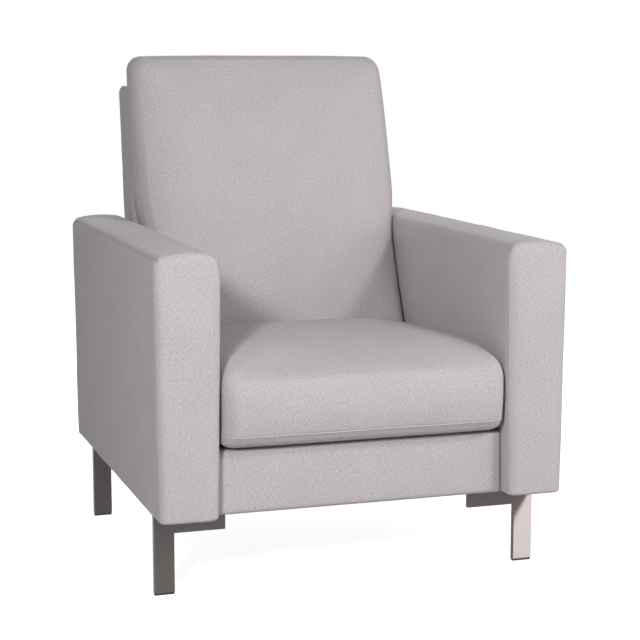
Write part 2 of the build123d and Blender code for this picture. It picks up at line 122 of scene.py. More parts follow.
class ArmSettings(bpy.types.PropertyGroup):
    """Shape of the padded arms."""

    inner_taper: length("Inner Taper", "How much nearer the seat the inner face is at the top", 0.008)
    outer_flare: length("Outer Flare", "How far the outer face leans out at the top", 0.005)
    inner_round: length("Inner Rounding", "Reach of the rounding from the inner face", 0.022)
    outer_round: length("Outer Rounding", "Reach of the rounding from the outer face", 0.016)
    inner_top: length("Inner Top Rounding", "Reach of the inner rounding down from the top", 0.034)
    outer_top: length("Outer Top Rounding", "Reach of the outer rounding down from the top", 0.016)
    foot_round: length("Foot Rounding", "Reach of the rounding from the underside", 0.007)
    front_round: length("Front Rounding", "Reach of the rounding from the front face", 0.013)
    crown: length("Crown", "Rise of the top along its middle", 0.009)
    climb: length("Climb", "Rise of the top from the front to the rear", 0.004)
    front_swell: length("Front Swell", "Swell of the padded front", 0.004)
    cheek: length("Cheek Seam", "How far the inner seam lies behind the front", 0.012)


class SeatSettings(bpy.types.PropertyGroup):
    """Shape of the loose seat cushion."""

    edge: length("Edge Height", "Height of the seam along the front edge of the top", 0.430)
    crown: length("Crown", "Rise of the top along the arms before it swells", 0.030)
    arch: length("Arch", "Rise of the top from the arms to the middle before it swells", 0.002)
    dip: length("Dip", "Fall of the top along the arms from the front to the back cushion", 0.025)
    rear_arch: length("Rear Arch", "How much less the middle falls than the top along the arms", 0.015)
    nose: length("Nose", "How far the middle of the front stands before its ends", 0.003)
    bulge: length("Bulge", "How far the front stands out between its seams", 0.007)
    border: length("Border", "Height of the border under the front panel", 0.026)
    tuck: length("Tuck", "How far the border draws in at the bottom", 0.017)
    pressure: FloatProperty(name="Pressure", description="Pressure of the filling", default=4.0, min=0)
    swell_limit: length("Swell Limit", "Most that a point swells", 0.024)


class BackSettings(bpy.types.PropertyGroup):
    """Shape of the back cushion and of the frame behind it."""

    lean: angle("Lean", "Lean of the cushion's face", 19.6)
    frame_lean: angle("Frame Lean", "Lean of the frame behind", 8)
    crown: length("Crown", "Swell of the face across the cushion before it swells", 0.004)
    pillow: length("Pillow", "How far the face falls back along its edges", 0.012)
    wrap: length("Wrap", "How far the face runs back on to the sides before its seam", 0.055)
    bow: length("Bow", "Swell of the face between seat and top before it swells", 0.006)
    head: length("Head", "How much wider each side is above the arms", 0.012)
    top_round: length("Top Rounding", "Reach of the rounding from the top", 0.032)
    side_round: length("Side Rounding", "Reach of the rounding from the sides at the seat and the top", 0.032)
    side_roll: length("Side Roll", "Reach of the rounding from the sides between seat and top", 0.060)
    pressure: FloatProperty(name="Pressure", description="Pressure of the filling", default=4.0, min=0)
    swell_limit: length("Swell Limit", "Most that a point swells", 0.024)


class LegSettings(bpy.types.PropertyGroup):
    """Finish of the legs."""

    # Partly the steel's own tone and partly painted shade: it is set far darker than bare steel, standing in
    # for dark surroundings mirrored in the legs
    steel: colour("Steel", "Reflection of the brushed steel", "#6E6867")
    grain: length("Brush Grain", "Width of one brush line", 0.0009)
    line: length("Brush Line", "Length of one brush line", 0.0714)


class StudioSettings(bpy.types.PropertyGroup):
    """Camera, floor and lights."""

    camera_place: FloatVectorProperty(
        name="Camera", description="Place of the camera", default=(-1.051, -3.358, 0.980), subtype="XYZ"
    )
    camera_yaw: angle("Yaw", "Turn of the camera to the right", 18.19)
    camera_pitch: angle("Pitch", "Tilt of the camera down", 8.36)
    lens: FloatProperty(name="Lens", description="Focal length", default=94.30, unit="CAMERA")
    floor: colour("Floor", "Studio floor", "#B4B4B4")
    key: power("Key", "Power of the light on the left", 69.0)
    side: power("Side", "Power of the light on the right", 36.0)
    fill: power("Fill", "Power of the broad light at the side", 40.0)
    rear: power("Rear", "Power of the light behind", 46.0)
    glint: power("Glint", "Power of the light on the right that only shiny surfaces show", 125.0)
    room: FloatProperty(name="Room", description="Strength of the light from all round", default=0.11, min=0)


class ArmchairSettings(bpy.types.PropertyGroup):
    """Everything a user may change."""

    upholstery: PointerProperty(type=UpholsterySettings)
    arms: PointerProperty(type=ArmSettings)
    seat: PointerProperty(type=SeatSettings)
    back: PointerProperty(type=BackSettings)
    legs: PointerProperty(type=LegSettings)
    studio: PointerProperty(type=StudioSettings)


# Forms: each cover is a box of quads, rounded and bent into shape, whose grid is finer along its edges

# Keeps a division by a vanishing length safe
TINY = 1e-9


def grid_line(low, high, rounds, step, turns, extra=()):
    """Places along one side of a box: even over the flat and closer towards each rounded edge."""
    bunching, micron_digits = 1.5, 6
    share = np.linspace(0, 1, turns + 1)[1:]
    turn = np.tan(math.pi / 4 * (1 - (1 - share) ** bunching))
    flat = np.linspace(low + rounds[0], high - rounds[1], max(2, round((high - low) / step)))
    places = [low + rounds[0] * (1 - turn), flat, high - rounds[1] * (1 - turn), np.array(extra)]
    return np.unique(np.round(np.concatenate(places), micron_digits))


def grid_lines(low, high, rounds, steps, turns, extras=((), (), ())):
    """The three grid lines of a box."""
    return [grid_line(low[k], high[k], rounds[k], steps[k], turns[k], extras[k]) for k in range(3)]


def outer_cells(lines):
    """Which crossings of three grid lines lie on the outside of their box."""
    shell = np.ones([len(line) for line in lines], bool)
    shell[1:-1, 1:-1, 1:-1] = False
    return shell


def soft_box(lines):
    """Closed box on three grid lines: its points, its quads, and each corner's place on the cloth."""
    shell = outer_cells(lines)
    index = np.full(shell.shape, -1)
    index[shell] = np.arange(shell.sum())
    points = np.stack([line[at] for line, at in zip(lines, np.nonzero(shell))], axis=1)
    quads, cloth = [], []
    cut_apart = 0.37
    for axis in range(3):
        across, up = (axis + 1) % 3, (axis + 2) % 3
        for end in (0, -1):
            grid = np.take(index, end, axis=axis)
            if across > up:
                grid = grid.T
            corners = [grid[:-1, :-1], grid[1:, :-1], grid[1:, 1:], grid[:-1, 1:]]
            if end == 0:
                corners.reverse()
            face = np.stack([c.ravel() for c in corners], axis=1)
            quads.append(face)
            # Weft runs level and warp runs up or back, and each face is cut from another stretch of the cloth
            level, rise = (across, up) if axis != 0 else (1, 2)
            cloth.append(points[face][:, :, [level, rise]] + cut_apart * (2 * axis - end))
    return points, np.concatenate(quads), np.concatenate(cloth)


def rounded(points, low, high, rounds):
    """Rounds a box: rounds gives each axis the reach of its roundings from the low and the high side."""
    low, high, rounds = np.array(low), np.array(high), np.array(rounds)
    core = np.clip(points, low + rounds[:, 0], high - rounds[:, 1])
    away = points - core
    reach = np.where(away < 0, rounds[:, 0], rounds[:, 1])
    unit = away / reach
    size = np.linalg.norm(unit, axis=1, keepdims=True)
    return core + unit / np.maximum(size, TINY) * reach


def ease(value):
    """0 to 1, smoothly."""
    value = np.clip(value, 0, 1)
    return value * value * (3 - 2 * value)


def path_through(corners, step=0.002):
    """Places every step along the straight runs between corners."""
    runs = []
    for a, b in zip(np.array(corners[:-1]), np.array(corners[1:])):
        count = max(2, round(np.linalg.norm(b - a) / step))
        runs.append(a + (b - a) * np.linspace(0, 1, count, endpoint=False)[:, None])
    return np.concatenate([*runs, [corners[-1]]])


def mesh_object(name, points, quads, cloth=None):
    """A smooth-shaded mesh in the scene, with the cloth's own places as its UV map."""
    mesh = bpy.data.meshes.new(name)
    mesh.from_pydata(points.tolist(), [], quads.tolist())
    if cloth is not None:
        mesh.uv_layers.new(name="cloth").data.foreach_set("uv", cloth.astype(np.float32).ravel())
    mesh.shade_smooth()
    made = bpy.data.objects.new(name, mesh)
    bpy.context.scene.collection.objects.link(made)
    return made


def settle(form, places):
    """Moves a form's points to new places."""
    form.data.vertices.foreach_set("co", places.astype(np.float32).ravel())
    form.data.update()


def vertex_normals(mesh):
    """Normals of a mesh as an array."""
    found = np.zeros(len(mesh.vertices) * 3, np.float32)
    mesh.vertex_normals.foreach_get("vector", found)
    return found.reshape(-1, 3).astype(float)


def swell(points, quads, held, pressure, limit):
    """Fills a closed form like a cushion, its held points staying put, and gives each point's move."""
    scene, frames = bpy.context.scene, 20
    cushion = mesh_object("filling", points, quads)
    cushion.vertex_groups.new(name="held").add(np.nonzero(held)[0].tolist(), 1.0, "REPLACE")
    cloth = cushion.modifiers.new("Cloth", "CLOTH")
    cloth.settings.quality = 6
    cloth.settings.use_pressure = True
    cloth.settings.uniform_pressure_force = pressure
    cloth.settings.effector_weights.gravity = 0
    cloth.settings.vertex_group_mass = "held"
    cloth.settings.bending_stiffness = 2.0
    cloth.collision_settings.use_collision = False
    cloth.point_cache.frame_start, cloth.point_cache.frame_end = 1, frames
    for step in range(1, frames + 1):
        scene.frame_set(step)
    filling = cushion.evaluated_get(bpy.context.evaluated_depsgraph_get()).data
    places = np.zeros(len(points) * 3, np.float32)
    filling.vertices.foreach_get("co", places)
    moves = places.reshape(-1, 3) - points
    scene.frame_set(1)
    mesh = cushion.data
    bpy.data.objects.remove(cushion)
    bpy.data.meshes.remove(mesh)
    far = np.linalg.norm(moves, axis=1, keepdims=True)
    return moves * np.minimum(1, limit / np.maximum(far, TINY))


def read_off(moves, coarse, places):
    """Moves of a coarse grid's points, read off at places on a finer grid of the same box."""
    shell = outer_cells(coarse)
    grid = np.zeros((*shell.shape, 3))
    grid[shell] = moves
    found, left, touching = np.zeros((len(places), 3)), np.ones(len(places), bool), 1e-7
    for axis in range(3):
        for end in (0, -1):
            on = left & np.isclose(places[:, axis], coarse[axis][end], atol=touching)
            face = np.take(grid, end, axis=axis)
            cells = []
            for other in (k for k in range(3) if k != axis):
                line, at = coarse[other], places[on, other]
                cell = np.clip(np.searchsorted(line, at) - 1, 0, len(line) - 2)
                cells.append((cell, ((at - line[cell]) / (line[cell + 1] - line[cell]))[:, None]))
            (i, u), (j, v) = cells
            near = face[i, j] * (1 - v) + face[i, j + 1] * v
            far = face[i + 1, j] * (1 - v) + face[i + 1, j + 1] * v
            found[on] = near * (1 - u) + far * u
            left &= ~on
    return found


def evened(values, quads, rounds):
    """Values at points, averaged with those of their neighbours a number of times."""
    a = quads.ravel()
    b = np.roll(quads, -1, axis=1).ravel()
    count = np.bincount(a, minlength=len(values)) + np.bincount(b, minlength=len(values))
    for _ in range(rounds):
        total = np.zeros_like(values)
        np.add.at(total, a, values[b])
        np.add.at(total, b, values[a])
        values = 0.5 * values + 0.5 * total / count[:, None]
    return values


def filled(shape, coarse, held, grid, quads, settings):
    """Places of a cushion's points with its filling in, where held tells which places stay put."""
    points = shape(grid)
    rough, faces, _ = soft_box(coarse)
    moves = swell(shape(rough), faces, held(*rough.T), settings.pressure, settings.swell_limit)
    return points + evened(read_off(moves, coarse, grid), quads, rounds=6)


def rumple(points, size, seed):
    """Smooth random values, one for each point, whose waves are about size long."""
    apart = (7.31, 3.17, 5.53)
    offset = Vector([seed * share for share in apart])
    return np.array([noise.noise(Vector(p) / size + offset) for p in points])


def slacken(form, points, waves, share):
    """Lets a cover ripple: each wave has a height, a length and a seed, and share fades them out."""
    slack = sum(height * rumple(points, size, seed) for height, size, seed in waves) * share
    settle(form, points + vertex_normals(form.data) * slack[:, None])


def sew(form, paths, settings, depth=1.0):
    """Draws a cover in along its seams and lets it puff and pucker beside them."""
    reach, pucker_size, pucker_reach, pucker_seed = 0.05, 0.016, 0.014, 4
    puff_share, pucker_share, puff_at, puff_wide = 0.45, 0.35, 3.4, 2.2
    count = sum(len(path) for path in paths)
    tree = KDTree(count)
    for i, place in enumerate(np.concatenate(paths)):
        tree.insert(place, i)
    tree.balance()
    places = np.array([v.co for v in form.data.vertices])
    away = np.array([tree.find(p)[2] for p in places])
    width = settings.seam_width
    near = away < reach
    pucker = np.zeros(len(places))
    fade = np.exp(-((away[near] / pucker_reach) ** 2))
    pucker[near] = rumple(places[near], pucker_size, pucker_seed) * fade
    groove = np.exp(-((away / width) ** 2))
    puff = np.exp(-(((away - puff_at * width) / (puff_wide * width)) ** 2))
    lift = depth * settings.seam_depth * (puff_share * puff + pucker_share * pucker - groove)
    settle(form, places + vertex_normals(form.data) * lift[:, None])


def surface_frames(form, path):
    """Place, normal, forward and sideways directions on a cover along a path."""
    mesh = form.data
    tree = BVHTree.FromPolygons([v.co for v in mesh.vertices], [p.vertices for p in mesh.polygons])
    found = [tree.find_nearest(Vector(p)) for p in path]
    places = np.array([f[0] for f in found])
    normals = evened_along(np.array([f[1] for f in found]), rounds=4)
    forward = np.gradient(path, axis=0)
    forward /= np.linalg.norm(forward, axis=1, keepdims=True)
    side = np.cross(forward, normals)
    side /= np.linalg.norm(side, axis=1, keepdims=True)
    return places, np.cross(side, forward), forward, side


def evened_along(values, rounds):
    """Rows of values averaged with the rows before and after them."""
    for _ in range(rounds):
        padded = np.concatenate([values[:1], values, values[-1:]])
        values = (padded[:-2] + 2 * padded[1:-1] + padded[2:]) / 4
    return values


def tube(places, normals, side, radius, first):
    """Points and quads of a round cord along places, its points numbered from first."""
    sides = 8
    turn = np.linspace(0, 2 * math.pi, sides, endpoint=False)
    ring = np.cos(turn)[None, :, None] * normals[:, None] + np.sin(turn)[None, :, None] * side[:, None]
    points = (places[:, None] + radius * ring).reshape(-1, 3)
    rows = np.arange(len(places) - 1)[:, None] * sides
    here, after = np.arange(sides), (np.arange(sides) + 1) % sides
    quads = np.stack([rows + here, rows + after, rows + sides + after, rows + sides + here], axis=2)
    cap = np.array([(0, 3, 2, 1), (0, 7, 4, 3), (7, 6, 5, 4)])
    ends = np.concatenate([cap, cap[:, ::-1] + len(points) - sides])
    return points, np.concatenate([quads.reshape(-1, 4), ends]) + first


def stitch_row(places, normals, forward, side, settings, first):
    """Points and quads of a row of topstitches along places, numbered from first."""
    gone = np.concatenate([[0], np.cumsum(np.linalg.norm(np.diff(places, axis=0), axis=1))])
    pitch = settings.stitch + settings.stitch_gap
    starts = np.arange(pitch, gone[-1] - pitch, pitch)
    centre, normal, ahead, across = (
        np.stack([np.interp(starts, gone, part[:, k]) for k in range(3)], axis=1)
        for part in (places, normals, forward, side)
    )
    # Each stitch is five rings of six points, sunk into the cloth at both ends
    sides, rings = 6, 5
    along = np.array([-0.5, -0.38, 0.0, 0.38, 0.5]) * settings.stitch
    thick = np.array([0.25, 0.8, 1.0, 0.8, 0.25]) * settings.thread_radius
    sunk = np.array([-0.0004, 0.0, 0.00025, 0.0, -0.0004])
    turn = np.linspace(0, 2 * math.pi, sides, endpoint=False)
    spine = centre[:, None] + ahead[:, None] * along[None, :, None] + normal[:, None] * sunk[None, :, None]
    ring = np.cos(turn)[:, None] * normal[:, None] + np.sin(turn)[:, None] * across[:, None]
    points = spine[:, :, None] + ring[:, None] * thick[None, :, None, None]
    here, after = np.arange(sides), (np.arange(sides) + 1) % sides
    bands = [
        np.stack([here, after, sides + after, sides + here], axis=1) + k * sides for k in range(rings - 1)
    ]
    caps = [[3, 2, 1, 0], [5, 4, 3, 0], [24, 25, 26, 27], [24, 27, 28, 29]]
    quads = np.concatenate([*bands, caps])[None] + (np.arange(len(starts)) * sides * rings)[:, None, None]
    return points.reshape(-1, 3), quads.reshape(-1, 4) + first


def seam_work(name, form, paths, settings, rows=(1,), fold=1.0):
    """Folded edges in the seams of a cover, and the topstitching beside them, as one piece."""
    sunk = 0.2 * settings.welt
    points, quads, welts, total = [], [], 0, 0
    frames = [surface_frames(form, path) for path in paths]
    for places, normals, _, side in frames:
        made, faces = tube(places - sunk * normals, normals, side, fold * settings.welt, total)
        points.append(made)
        quads.append(faces)
        total += len(made)
        welts += len(faces)
    for path, (*_, side) in zip(paths, frames):
        for hand in rows:
            beside = path + hand * settings.stitch_offset * side
            made, faces = stitch_row(*surface_frames(form, beside), settings, total)
            points.append(made)
            quads.append(faces)
            total += len(made)
    points, quads = np.concatenate(points), np.concatenate(quads)
    corners = points[quads]
    cloth = np.stack([corners[:, :, 0] + corners[:, :, 1], corners[:, :, 2]], axis=2)
    work = mesh_object(name, points, quads, cloth)
    work.data.materials.append(woven_fabric())
    work.data.materials.append(sewing_thread())
    work.data.polygons.foreach_set("material_index", (np.arange(len(quads)) >= welts).astype(np.int32))
    return work


def dress(piece, body, slot, material, *stood_for):
    """Gives a piece its material, seats it on its body and hides the nodes that it stands for; slot is not
    used.
    """
    if material is not None:
        piece.data.materials.append(material)
    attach(piece, body)
    if stood_for:
        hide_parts(*stood_for)


# Materials

# Index of most textiles, timbers and plastics
PLAIN_IOR = 1.5


def add_node(tree, kind, inputs=None, **settings):
    """Adds a node, sets it up, and gives each named input a value or a link."""
    made = tree.nodes.new(kind)
    for name, value in settings.items():
        setattr(made, name, value)
    for name, value in (inputs or {}).items():
        socket = made.inputs[name]
        if isinstance(value, bpy.types.NodeSocket):
            tree.links.new(value, socket)
        else:
            socket.default_value = value
    return made


def new_material(name, **sockets):
    """A material with a Principled shader whose uniform sockets are set, its tree and that shader."""
    material = bpy.data.materials.new(name)
    material.use_nodes = True
    tree = material.node_tree
    tree.nodes.clear()
    shader = add_node(tree, "ShaderNodeBsdfPrincipled")
    for socket, value in sockets.items():
        shader.inputs[socket.replace("_", " ")].default_value = value
    out = add_node(tree, "ShaderNodeOutputMaterial", {"Surface": shader.outputs["BSDF"]})
    out.is_active_output = True
    return material, tree, shader


def woven_fabric():
    """Plain-woven polyester of two twisted yarns."""
    found = bpy.data.materials.get("Woven melange polyester")
    if found:
        return found
    settings = bpy.context.scene.armchair.upholstery
    # Matt crossing threads, flecked where either yarn comes up, with a little fuzz at grazing angles
    material, tree, shader = new_material(
        "Woven melange polyester", Roughness=0.92, IOR=PLAIN_IOR, Specular_IOR_Level=0.25,
        Sheen_Weight=0.12, Sheen_Roughness=0.5,
    )
    cloth = add_node(tree, "ShaderNodeUVMap", uv_map="cloth").outputs["UV"]
    along, across = 1 / settings.fleck_length, 1 / settings.fleck_width
    streaks = []
    for run in ((along, across, 1), (across, along, 1)):
        stretched = add_node(tree, "ShaderNodeVectorMath", {0: cloth, 1: run}, operation="MULTIPLY")
        streaks.append(add_node(
            tree, "ShaderNodeTexNoise",
            {"Vector": stretched.outputs["Vector"], "Scale": 1.0, "Detail": 2.0, "Roughness": 0.6},
        ).outputs["Fac"])
    flecks = add_node(tree, "ShaderNodeMath", {0: streaks[0], 1: streaks[1]}, operation="ADD").outputs[0]
    # The dye drifts a little over a hand's breadth
    drift_size, drift_share = 0.09, 0.15
    drift = add_node(tree, "ShaderNodeTexNoise", {"Vector": cloth, "Scale": 1 / drift_size, "Detail": 2.0})
    drifted = add_node(
        tree, "ShaderNodeMath", {0: drift.outputs["Fac"], 1: drift_share, 2: flecks}, operation="MULTIPLY_ADD"
    )
    share = add_node(
        tree, "ShaderNodeMapRange", {"Value": drifted.outputs[0], "From Min": 0.82, "From Max": 1.32}
    )
    dark, light = (*settings.dark_yarn, 1), (*settings.light_yarn, 1)
    yarns = add_node(
        tree, "ShaderNodeMixRGB", {"Fac": share.outputs["Result"], "Color1": dark, "Color2": light}
    )
    tree.links.new(yarns.outputs["Color"], shader.inputs["Base Color"])
    # Threads cross every thread_spacing, and a fleck stands out more than a crossing
    fleck_relief, per_thread = 1.6, math.pi / settings.thread_spacing
    waves = add_node(tree, "ShaderNodeVectorMath", {0: cloth, 1: (per_thread,) * 3}, operation="MULTIPLY")
    crests = add_node(tree, "ShaderNodeVectorMath", {0: waves.outputs["Vector"]}, operation="SINE")
    both = add_node(tree, "ShaderNodeSeparateXYZ", {"Vector": crests.outputs["Vector"]}).outputs
    crossing = add_node(tree, "ShaderNodeMath", {0: both["X"], 1: both["Y"]}, operation="MULTIPLY")
    relief = add_node(
        tree, "ShaderNodeMath", {0: flecks, 1: fleck_relief, 2: crossing.outputs[0]}, operation="MULTIPLY_ADD"
    )
    bump = add_node(
        tree, "ShaderNodeBump", {"Height": relief.outputs[0], "Strength": 0.35, "Distance": 0.0004}
    )
    tree.links.new(bump.outputs["Normal"], shader.inputs["Normal"])
    return material


def sewing_thread():
    """Twisted polyester thread."""
    found = bpy.data.materials.get("Twisted polyester thread")
    if found:
        return found
    settings = bpy.context.scene.armchair.upholstery
    # A tight twist with a soft shine, painted darker between the strands as painted shade and paler on the
    # crest of each strand as a painted highlight
    material, tree, shader = new_material("Twisted polyester thread", Roughness=0.6, IOR=PLAIN_IOR)
    place = add_node(tree, "ShaderNodeTexCoord").outputs["Object"]
    strands = add_node(
        tree, "ShaderNodeTexNoise", {"Vector": place, "Scale": 1 / settings.strand, "Detail": 1.0}
    )
    # The darker tone is painted shade between the strands; the paler one is a painted highlight on their
    # crests
    between, crest_painted_highlight = (*(0.7 * c for c in settings.thread), 1), (*settings.thread, 1)
    twist = add_node(
        tree, "ShaderNodeMixRGB", {"Fac": strands.outputs["Fac"], "Color1": between, "Color2": crest_painted_highlight}
    )
    tree.links.new(twist.outputs["Color"], shader.inputs["Base Color"])
    return material


def brushed_steel():
    """Stainless steel flats, brushed level."""
    settings = bpy.context.scene.armchair.legs
    # The dark base colour is partly painted shade, standing in for dark surroundings that the legs mirror
    # Fine level lines draw each reflection out up and down the bar and leave it narrow from side to side
    material, tree, shader = new_material(
        "Brushed stainless steel", Metallic=1.0, Base_Color=(*settings.steel, 1), Anisotropic=1.0
    )
    place = add_node(tree, "ShaderNodeTexCoord").outputs["Object"]
    run = (1 / settings.line, 1 / settings.grain, 1 / settings.grain)
    lines = add_node(tree, "ShaderNodeVectorMath", {0: place, 1: run}, operation="MULTIPLY")
    grain = add_node(
        tree, "ShaderNodeTexNoise", {"Vector": lines.outputs["Vector"], "Scale": 1.0, "Detail": 3.0}
    ).outputs["Fac"]
    rough = add_node(tree, "ShaderNodeMapRange", {"Value": grain, "To Min": 0.38, "To Max": 0.48})
    tree.links.new(rough.outputs["Result"], shader.inputs["Roughness"])
    upward = add_node(tree, "ShaderNodeCombineXYZ", {"Z": 1.0})
    tree.links.new(upward.outputs["Vector"], shader.inputs["Tangent"])
    bump = add_node(tree, "ShaderNodeBump", {"Height": grain, "Strength": 0.12, "Distance": 0.0002})
    tree.links.new(bump.outputs["Normal"], shader.inputs["Normal"])
    return material


def frame_material(name, dark, light, grain, rough, relief, metallic=0.0):
    """A plain finish: two tones mixed along a grain, whose size is in millimetres, with a little relief."""
    sockets = {"Roughness": rough, "Metallic": metallic}
    if not metallic:
        sockets["IOR"] = PLAIN_IOR
    material, tree, shader = new_material(name, **sockets)
    place = add_node(tree, "ShaderNodeTexCoord").outputs["Object"]
    per_metre = tuple(1000 / size for size in grain)
    stretched = add_node(tree, "ShaderNodeVectorMath", {0: place, 1: per_metre}, operation="MULTIPLY")
    figure = add_node(
        tree, "ShaderNodeTexNoise", {"Vector": stretched.outputs["Vector"], "Scale": 1.0, "Detail": 4.0}
    ).outputs["Fac"]
    tones = add_node(
        tree, "ShaderNodeMixRGB", {"Fac": figure, "Color1": (*linear(dark), 1), "Color2": (*linear(light), 1)}
    )
    tree.links.new(tones.outputs["Color"], shader.inputs["Base Color"])
    bump = add_node(tree, "ShaderNodeBump", {"Height": figure, "Strength": 0.3, "Distance": relief})
    tree.links.new(bump.outputs["Normal"], shader.inputs["Normal"])
    return material


# Pieces


class ARMCHAIR_OT_arms(bpy.types.Operator):
    """Make both padded arms with their seams"""

    bl_idname = "armchair.arms"
    bl_label = "Arms"

    def execute(self, context):
        settings, sewing = context.scene.armchair.arms, context.scene.armchair.upholstery
        wide = arm_high.x - arm_low.x - settings.outer_flare
        crown_room, drawn, outside_from, outside_over = 0.006, 0.003, 0.2, 0.6
        low = (0.0, arm_low.y, arm_low.z)
        high = (wide, arm_high.y, arm_high.z - crown_room)
        sides, ends = (settings.inner_round, settings.outer_round), (settings.front_round,) * 2
        inward = (sides, ends, (settings.foot_round, settings.inner_top))
        outward = (sides, ends, (settings.foot_round, settings.outer_top))
        # Beside the seat box the inner foot is drawn tight over the side rail
        tight = ((drawn, settings.outer_round), ends, (drawn, settings.inner_top))
        margin, foot_tall, foot_fade, middle_fade = 0.012, 0.06, 0.03, 0.02
        # The cover is drawn up where the dust cover laps under it
        lap_rise, lap_wide, lap_fade, lap_tall, lap_end = 0.004, 0.026, 0.006, 0.02, 0.01
        front_deep, side_pad, side_swell, crown_from = 0.05, 0.003, 0.002, 0.88
        inner_foot = arm_low.x + settings.inner_taper
        outer_foot = arm_high.x - settings.outer_flare
        tall = high[2] - low[2]
        box_front, box_rear = panel_high.y, dust_high.y

        def shape(points):
            toward_outside = ease((points[:, :1] / wide - outside_from) / outside_over)
            soft = rounded(points, low, high, inward)
            soft += toward_outside * (rounded(points, low, high, outward) - soft)
            x, y, z = soft.T
            firm = ease((y - box_front + margin) / margin) * ease((box_rear + margin - y) / margin)
            firm = firm * ease((wide / 2 - x) / middle_fade) * ease((low[2] + foot_tall - z) / foot_fade)
            x, y, z = (soft + firm[:, None] * (rounded(points, low, high, tight) - soft)).T
            across, rise = x / wide, (z - low[2]) / tall
            run = (y - low[1]) / (high[1] - low[1])
            inner = inner_foot - settings.inner_taper * rise
            outer = outer_foot + settings.outer_flare * rise
            full = 1 - (2 * rise - 1) ** 4
            front = settings.front_swell * 4 * across * (1 - across) * full
            front = front * ease((low[1] + front_deep - y) / front_deep)
            side = (side_pad + side_swell * full * (1 - (2 * run - 1) ** 4)) * ease(2 * across - 1)
            crown = settings.crown * (1 - (2 * across - 1) ** 2) + settings.climb * run
            crown = crown * ease((rise - crown_from) / (1 - crown_from))
            lap = lap_rise * ease((lap_wide - x) / lap_fade) * ease((low[2] + lap_tall - z) / lap_tall)
            lap = lap * ease((y - box_front) / lap_end) * ease((box_rear - y) / lap_end)
            return np.stack([inner + across * (outer - inner) + side, y - front, z + crown + lap], axis=1)

        grid, quads, cloth = soft_box(grid_lines(low, high, inward, (0.008, 0.010, 0.010), (12, 10, 14)))
        behind = low[1] + settings.cheek
        runs = [
            path_through([(wide, high[1], high[2]), (wide, low[1], high[2])]),
            path_through([(wide, low[1], high[2]), (0.0, low[1], high[2])]),
            path_through([(0.0, behind, high[2]), (0.0, behind, low[2])]),
        ]
        # Ripples fade out towards the inner face, beside the cushions
        still, fade = 0.012, 0.03
        for name, side in (("left", -1), ("right", 1)):
            mirror = np.array((side, 1, 1))
            points = shape(grid)
            share = ease((points[:, 0] - arm_low.x - still) / fade)
            points = points * mirror
            faces, weave = (quads, cloth) if side > 0 else (quads[:, ::-1], cloth[:, ::-1])
            arm = mesh_object(f"{name}_arm", points, faces, weave)
            slacken(arm, points, ((0.0011, 0.12, 1), (0.0004, 0.045, 2)), share)
            edge, brow, cheek = (shape(run) * mirror for run in runs)
            work = seam_work(f"{name}_arm_seam", arm, [edge, cheek], sewing, rows=(side,))
            sew(arm, [edge, cheek], sewing)
            sew(arm, [brow], sewing, 0.3)
            dress(arm, "chair", "upholstery", woven_fabric(), f"{name}_arm_cover", f"{name}_arm_padding")
            dress(work, "chair", "upholstery", None)
        return {"FINISHED"}


